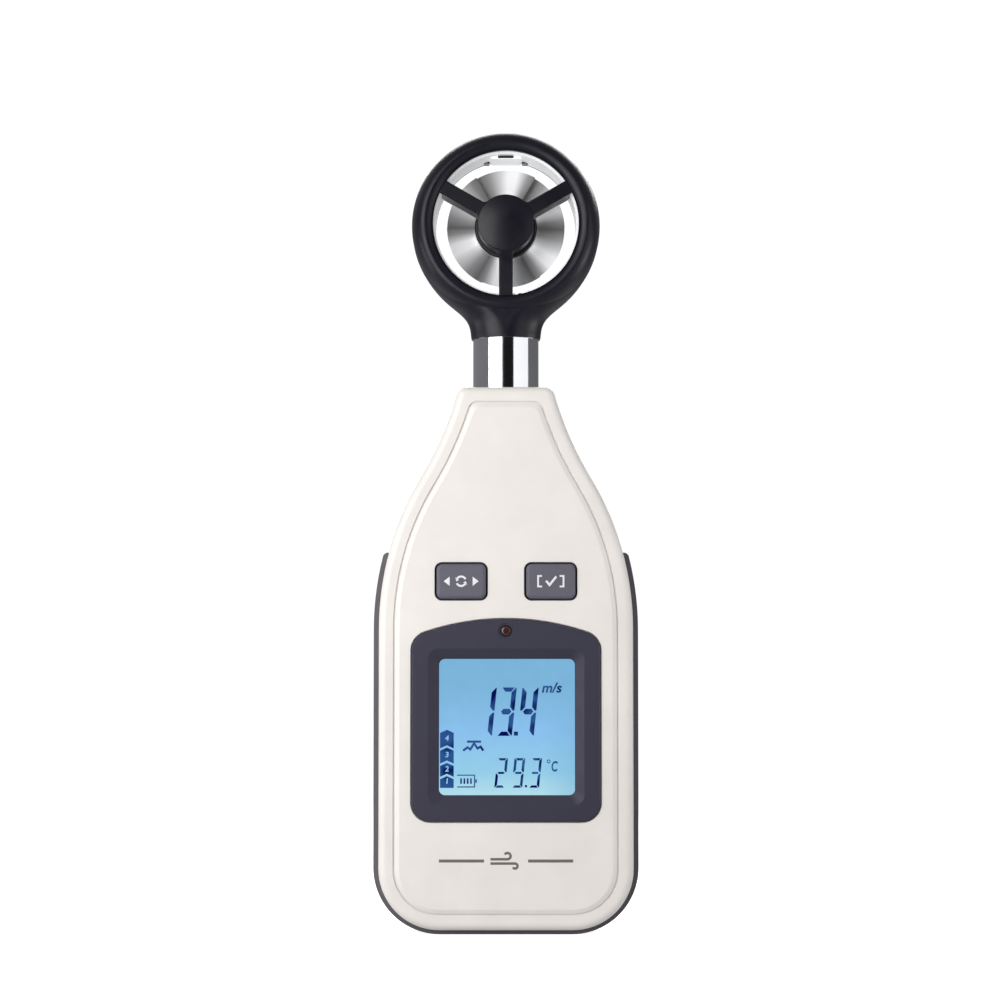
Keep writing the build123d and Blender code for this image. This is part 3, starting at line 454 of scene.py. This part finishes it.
def add_text(shape, words, x, z, size, front, back, shear=0.0, narrow=1.0):
    """Closed letters or numerals, centred on a point."""
    curve = bpy.data.curves.new("letters", "FONT")
    curve.body = words
    curve.size = size
    curve.shear = shear
    curve.offset = size * LETTER_WEIGHT
    curve.align_x = "CENTER"
    curve.align_y = "CENTER"
    curve.extrude = (back - front) / 2
    holder = bpy.data.objects.new("letters", curve)
    mesh = bpy.data.meshes.new_from_object(holder)
    upright = Matrix.Translation((x, (front + back) / 2, z)) @ Matrix.Rotation(pi / 2, 4, "X")
    upright = upright @ Matrix.Diagonal((narrow, 1, 1, 1))
    mesh.transform(upright)
    shape.from_mesh(mesh)
    bpy.data.objects.remove(holder)
    bpy.data.curves.remove(curve)
    bpy.data.meshes.remove(mesh)


def flat_piece(name, body, slot, depths, outlines=(), words=()):
    """One thin piece made of outlines and of words, on a body."""
    shape = bmesh.new()
    for outline in outlines:
        add_prism(shape, outline, *depths)
    for text, x, z, size, *form in words:
        add_text(shape, text, x, z, size, *depths, *form)
    bmesh.ops.remove_doubles(shape, verts=shape.verts, dist=MERGE)
    bmesh.ops.recalc_face_normals(shape, faces=shape.faces)
    mesh = bpy.data.meshes.new(name)
    shape.to_mesh(mesh)
    shape.free()
    mesh.materials.append(materials[slot])
    piece = bpy.data.objects.new(name, mesh)
    bpy.context.scene.collection.objects.link(piece)
    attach(piece, body)


def stroke(points, width):
    """Outline of an open line of even width, with mitred corners."""
    left, right = [], []
    for number, point in enumerate(points):
        before = points[max(0, number - 1)]
        after = points[min(len(points) - 1, number + 1)]
        into = Vector(point) - Vector(before)
        out = Vector(after) - Vector(point)
        into = (into if into.length else out).normalized()
        out = (out if out.length else into).normalized()
        along = (into + out).normalized()
        reach = width / 2 / max(SHARPEST_MITRE, along.dot(into))
        side = Vector((-along.y, along.x)) * reach
        left.append(tuple(Vector(point) + side))
        right.append(tuple(Vector(point) - side))
    return right + left[::-1]


def arc(x, z, radius, start, end, steps=18):
    """Points round a centre, from one angle to another in degrees."""
    points = []
    for step in range(steps + 1):
        angle = radians(start + (end - start) * step / steps)
        points.append((x + radius * cos(angle), z + radius * sin(angle)))
    return points


def box_outline(x, z, width, height):
    return [(x - width / 2, z - height / 2), (x + width / 2, z - height / 2),
            (x + width / 2, z + height / 2), (x - width / 2, z + height / 2)]


# ---------------------------------------------------------------- what the display shows

SEGMENTS = {
    "0": "abcdef", "1": "bc", "2": "abged", "3": "abgcd", "4": "fgbc", "5": "afgcd",
    "6": "afgedc", "7": "abc", "8": "abcdefg", "9": "abcdfg",
}
SLANT = 0.105  # sideways lean of a figure for each unit of its height
# Half width, half height, bar and gap of the two sizes of figure, in millimetres.
LARGE_FIGURE = (1.16, 4.42, 0.95, 0.2)
SMALL_FIGURE = (0.82, 2.72, 0.52, 0.14)


def segment(kind, half_width, half_height, thick, gap, swell):
    """One of a digit's seven bars, about the digit's centre, before it is slanted.

    Bar g is the middle one, a and d are the top and the foot, and the rest are the sides. The bars'
    ends are cut aslant, in shares of the bar's thickness and of the gap between two bars.
    """
    cut = thick / 2
    if kind == "g":
        tip = half_width - gap * 0.6
        inner = tip - thick * 0.45
        deep = cut * swell
        return [(-tip, 0), (-inner, -deep), (inner, -deep), (tip, 0), (inner, deep), (-inner, deep)]
    if kind in "ad":
        up = 1 if kind == "a" else -1
        edge = half_height + cut * 0.9
        flat = half_height - cut * 0.9
        tip = half_width + cut * 0.1
        inner = half_width - thick * 0.6
        return [(-tip, up * edge), (tip, up * edge), (inner, up * flat), (-inner, up * flat)]
    out = 1 if kind in "bc" else -1
    up = 1 if kind in "bf" else -1
    far = half_height + cut * 0.7
    inner_near, inner_far = gap + thick * 0.8, far - thick * 0.95
    nose = (cut * 0.3, gap * 0.9)
    shoulder = (cut * 0.7, far + cut * 0.1)
    outline = [(-cut, inner_near), nose, (cut, gap * 1.2), (cut, far), shoulder, (-cut, inner_far)]
    return [(out * (half_width + x), up * z) for x, z in outline]


def digit(figure, x, z, size, swell):
    """Slanted seven-segment figure; size is (half width, half height, bar, gap)."""
    outlines = []
    for kind in SEGMENTS[figure]:
        outline = segment(kind, *size, swell)
        outlines.append([(x + px + SLANT * pz, z + pz) for px, pz in outline])
    return outlines


def on_display(x, z):
    """A place on the display, from millimetres right of and above the window's centre."""
    return WINDOW.x + x * MM, WINDOW.z + z * MM


def reading(figures, places, z, size, swell, point):
    """Figures by the middles of their right-hand bars, and a square point."""
    outlines = []
    half_width = size[0] * MM
    for figure, right in zip(figures, places):
        cx, cz = on_display(right, z)
        outlines += digit(figure, cx - half_width, cz, [value * MM for value in size], swell)
    point_side = size[2] * 0.85 * MM
    outlines.append(box_outline(*on_display(*point), point_side, point_side))
    return outlines


def chevron(x, z, width, height, rise, flat_foot):
    """Upward arrow block; its foot is notched to clear the one below."""
    half = width / 2
    notch = 0 if flat_foot else rise
    shoulder = z + height
    return [(x - half, z), (x, z + notch), (x + half, z), (x + half, shoulder), (x, shoulder + rise),
            (x - half, shoulder)]


def display_content():
    """Every sign that the display shows, as thin solids between its window and its cell."""
    depths = (INK_FRONT, INK_BACK)
    large = reading("134", (-3.0, 1.0, 5.4), 3.05, LARGE_FIGURE, swell=1.2, point=(1.8, -1.35))
    flat_piece("lcd_speed_reading", "case", "lcd_ink", depths, large)
    small = reading("293", (-0.35, 3.1, 6.47), -9.2, SMALL_FIGURE, swell=0.8, point=(3.8, -11.85))
    flat_piece("lcd_temperature_reading", "case", "lcd_ink", depths, small)
    unit_symbols(depths)
    flat_piece("lcd_battery_symbol", "case", "lcd_ink", depths, battery_symbol())
    flat_piece("lcd_peak_symbol", "case", "lcd_ink", depths, peak_symbol())
    level_blocks(depths)


def unit_symbols(depths):
    """Metres a second beside the large reading, and degrees beside the small one."""
    speed_size, speed_shear = 2.75 * MM, 0.2
    heat_size, heat_shear, heat_narrow = 2.8 * MM, 0.12, 0.64
    units = [
        ("m/s", *on_display(8.9, 7.75), speed_size, speed_shear),
        ("C", *on_display(9.45, -8.0), heat_size, heat_shear, heat_narrow),
    ]
    ring_radius, ring_width = 0.3 * MM, 0.16 * MM
    ring = stroke(arc(*on_display(8.35, -6.9), ring_radius, 0, 359), ring_width)
    flat_piece("lcd_units", "case", "lcd_ink", depths, [ring], units)


def battery_symbol():
    """Cell seen from the side, with its nub on the right and four bars."""
    wall = 0.22 * MM
    left, bottom = on_display(-10.0, -12.0)
    right, top = on_display(-6.5, -9.65)
    outlines = [stroke([(left, top), (right, top), (right, bottom), (left, bottom)], wall)]
    half_z = (top + bottom) / 2
    nub_width, nub_height = 0.3 * MM, 0.7 * MM
    outlines.append(box_outline(right + nub_width, half_z, nub_width, nub_height))
    bar_width, bar_height = 0.34 * MM, 1.1 * MM
    first_bar, bar_step = 0.8, 0.66
    for bar in range(4):
        outlines.append(box_outline(left + (first_bar + bar_step * bar) * MM, half_z, bar_width, bar_height))
    return outlines


def peak_symbol():
    """Highest value so far: a line that climbs to a peak under a bar."""
    width = 0.44 * MM
    rises = [(-8.8, -4.75), (-7.9, -4.1), (-7.35, -4.5), (-6.6, -3.3)]
    falls = [(-5.9, -4.3), (-5.3, -3.95), (-4.75, -4.75)]
    line = [on_display(x, z) for x, z in rises + falls]
    bar = [on_display(-8.0, -2.95), on_display(-5.2, -2.95)]
    return [stroke(line, width), stroke(bar, width)]


def level_blocks(depths):
    """Column of four numbered blocks, and the numbers on them."""
    column, foot = -12.05, -12.2
    heights = (1.75, 2.2, 2.6, 3.1)
    width, gap, rise = 2.75, 0.45, 0.62
    number_size, number_shear, number_lift = 1.5 * MM, 0.1, 0.45
    numbers = []
    blocks = []
    for count, height in enumerate(heights):
        x, z = on_display(column, foot)
        blocks.append(chevron(x, z, width * MM, height * MM, rise * MM, count == 0))
        middle_z = z + (height / 2 + number_lift) * MM
        numbers.append((str(count + 1), x, middle_z, number_size, number_shear))
        foot += height + gap
    flat_piece("lcd_level_blocks", "case", "lcd_ink", depths, blocks)
    number_thickness = 0.04 * MM
    ahead = (depths[0] - number_thickness, depths[0])
    flat_piece("lcd_level_numbers", "case", "lcd_blue", ahead, (), numbers)


# ---------------------------------------------------------------- prints on the case and keys


def key_prints():
    """Mode key: a round arrow between two pointers. Set key: a tick between two brackets."""
    raised = 0.015 * MM
    for node, body in (("mode_button", "mode_key"), ("set_button", "set_key")):
        front = low(node).y
        at = middle(node)
        outlines = round_arrow(at) if node == "mode_button" else tick(at)
        name = node.replace("button", "key_print")
        flat_piece(name, body, "print_white", (front - raised, front + raised), outlines)


def round_arrow(at):
    """Two curved arrows that chase each other, between two pointers."""
    radius = 0.95 * MM
    width = 0.42 * MM
    head_half = width * 1.15
    inside, outside = radius - head_half, radius + head_half
    sweep, root_turn, tip_turn = 125, 122, 158
    outlines = []
    for start in (25, 205):
        outlines.append(stroke(arc(at.x, at.z, radius, start, start + sweep), width))
        tip = radians(start + tip_turn)
        root = radians(start + root_turn)
        outlines.append([
            (at.x + outside * cos(root), at.z + outside * sin(root)),
            (at.x + radius * cos(tip), at.z + radius * sin(tip)),
            (at.x + inside * cos(root), at.z + inside * sin(root)),
        ])
    pointer_half = 0.95 * MM
    for side in (-1, 1):
        near, far = at.x + side * 2.3 * MM, at.x + side * 3.5 * MM
        outlines.append([(near, at.z - pointer_half), (far, at.z), (near, at.z + pointer_half)])
    return outlines


def tick(at):
    """A tick between two square brackets, whose lines are thinner."""
    width = 0.46 * MM
    bracket_width = width * 0.8
    points = [(-0.95, 0.1), (-0.25, -0.75), (1.1, 0.95)]
    outlines = [stroke([(at.x + x * MM, at.z + z * MM) for x, z in points], width)]
    for side in (-1, 1):
        bracket = [(1.75, 1.05), (2.55, 1.05), (2.55, -1.05), (1.75, -1.05)]
        outlines.append(stroke([(at.x + side * x * MM, at.z + z * MM) for x, z in bracket], bracket_width))
    return outlines


def wind_line(x, z, length, curl, width):
    """A gust: a straight run that ends in a curl."""
    run = [(x, z), (x + length, z)]
    turn = arc(x + length, z + curl, abs(curl), -90 if curl > 0 else 90, 150 if curl > 0 else -150, 14)
    return stroke(run + turn[1:], width)


def front_print():
    """Wind sign in the middle of a thin line, on the panel below the display."""
    z = 15.1 * MM
    bar_middle, bar_length, bar_width = 8.9 * MM, 9.0 * MM, 0.6 * MM
    gust_start, gust_width = -3.1 * MM, 0.5 * MM
    raised = 0.02 * MM
    outlines = [box_outline(side * bar_middle, z, bar_length, bar_width) for side in (-1, 1)]
    outlines.append(wind_line(gust_start, z + 0.35 * MM, 3.4 * MM, 0.62 * MM, gust_width))
    outlines.append(wind_line(gust_start, z - 0.5 * MM, 4.9 * MM, -0.5 * MM, gust_width))
    depths = (PANEL_FRONT - raised, PANEL_FRONT + raised)
    flat_piece("front_wind_print", "case", "print_grey", depths, outlines)


display_content()
key_prints()
front_print()


# ---------------------------------------------------------------- floor, light and camera


def stage_floor():
    """Plain pale floor, which gives the object no light of its own."""
    mesh = bpy.data.meshes.new("floor")
    half = 4.0
    corners = [(-half, -half, 0), (half, -half, 0), (half, half, 0), (-half, half, 0)]
    mesh.from_pydata(corners, [], [(0, 1, 2, 3)])
    surface = Surface("floor_white")
    surface.set(Base_Color=(0.9, 0.9, 0.9, 1), Roughness=0.9, Specular_IOR_Level=0.0,
                Emission_Color=(1, 1, 1, 1), Emission_Strength=0.85)
    mesh.materials.append(surface.material)
    floor = bpy.data.objects.new("floor", mesh)
    floor.visible_diffuse = False
    floor.visible_glossy = False
    bpy.context.scene.collection.objects.link(floor)


def studio_world():
    """White seen directly; to everything else a grey room with dark and pale bands at eye level."""
    seen_white = 1.05
    bands_end, room_start = 0.2, 0.34  # heights on a unit sphere between which the bands fade out
    below, below_gain = -0.3, 1.5  # the room is brighter below, as it is over a white floor
    blue_tint = 1.05
    world = bpy.data.worlds.new("studio")
    world.use_nodes = True
    bpy.context.scene.world = world
    tree = world.node_tree
    link = tree.links.new

    def node(kind, **settings):
        made = tree.nodes.new(kind)
        for key, value in settings.items():
            setattr(made, key, value)
        return made

    def ranged(source, low_in, high_in, low_out, high_out):
        made = node("ShaderNodeMapRange")
        for socket, value in zip(list(made.inputs)[1:5], (low_in, high_in, low_out, high_out)):
            socket.default_value = value
        link(source, made.inputs["Value"])
        return made.outputs["Result"]

    split = node("ShaderNodeSeparateXYZ")
    link(node("ShaderNodeTexCoord").outputs["Generated"], split.inputs[0])
    back = node("ShaderNodeMath", operation="MULTIPLY")
    back.inputs[1].default_value = -1
    link(split.outputs["Y"], back.inputs[0])
    turn = node("ShaderNodeMath", operation="ARCTAN2")
    link(split.outputs["X"], turn.inputs[0])
    link(back.outputs[0], turn.inputs[1])
    ramp = node("ShaderNodeValToRGB")
    link(ranged(turn.outputs[0], -pi, pi, 0, 1), ramp.inputs[0])
    # Grey by the angle round the object in degrees, 0 in front of it and positive towards +X.
    bands = (
        (-180, 1.0), (-172, 0.30), (-150, 0.20), (-100, 0.17), (-66, 0.17), (-13, 0.20), (-7, 0.01),
        (24, 0.01), (29, 0.20), (80, 0.13), (150, 0.13), (172, 0.25), (180, 1.0),
    )
    colour_stops(ramp, [((angle + 180) / 360, (grey, grey, grey * blue_tint, 1)) for angle, grey in bands])
    level = node("ShaderNodeMath", operation="ABSOLUTE")
    link(split.outputs["Z"], level.inputs[0])
    room = node("ShaderNodeMix", data_type="RGBA")
    link(ranged(level.outputs[0], bands_end, room_start, 0, 1), room.inputs[0])
    link(ramp.outputs[0], room.inputs[6])
    room.inputs[7].default_value = (ROOM, ROOM, ROOM, 1)
    shaded = node("ShaderNodeVectorMath", operation="SCALE")
    link(room.outputs[2], shaded.inputs[0])
    link(ranged(split.outputs["Z"], below, 0.0, below_gain, 1.0), shaded.inputs["Scale"])
    chosen = node("ShaderNodeMix", data_type="RGBA")
    link(node("ShaderNodeLightPath").outputs["Is Camera Ray"], chosen.inputs[0])
    link(shaded.outputs[0], chosen.inputs[6])
    chosen.inputs[7].default_value = (seen_white, seen_white, seen_white, 1)
    link(chosen.outputs[2], tree.nodes["Background"].inputs["Color"])


LIGHT_AIM = Vector((0, 0, 0.1))
WARM = (1, 0.995, 0.985)
COOL = (0.99, 0.995, 1)


def area_light(name, place, size, power, colour=(1, 1, 1)):
    """Soft box that the camera doesn't see, turned to the middle of the object."""
    data = bpy.data.lights.new(name, "AREA")
    data.shape = "RECTANGLE"
    data.size, data.size_y = size
    data.energy = power
    data.color = colour
    light = bpy.data.objects.new(name, data)
    light.location = place
    light.rotation_euler = (LIGHT_AIM - Vector(place)).to_track_quat("-Z", "Y").to_euler()
    light.visible_camera = False
    bpy.context.scene.collection.objects.link(light)


def lights():
    """Large box near the left, a weaker one at the right, a low one on each side, one high behind."""
    low_size = (0.16, 0.12)
    area_light("left_box", (-0.183, -0.234, 0.13), size=(0.264, 0.30), power=0.90, colour=WARM)
    area_light("right_box", (0.325, -0.223, 0.12), size=(0.43, 0.26), power=0.32, colour=COOL)
    area_light("left_low_box", (-0.30, 0.02, 0.06), low_size, power=0.11)
    area_light("right_low_box", (0.30, 0.02, 0.06), low_size, power=0.17)
    area_light("back_box", (0.06, 0.45, 0.42), size=(0.5, 0.3), power=2.2)


def camera():
    """Long lens in front, a little low, looking slightly up."""
    data = bpy.data.cameras.new("camera")
    data.sensor_width = 36
    data.lens = 109.46
    data.clip_start = 0.01
    place = Vector((-1.2, -620.0, 49.58)) * MM
    aim = Vector((-1.2, 0.0, 87.88)) * MM
    view = bpy.data.objects.new("camera", data)
    view.location = place
    view.rotation_euler = (aim - place).to_track_quat("-Z", "Y").to_euler()
    bpy.context.scene.collection.objects.link(view)
    bpy.context.scene.camera = view


stage_floor()
studio_world()
lights()
camera()
bpy.context.scene.view_settings.view_transform = "Standard"
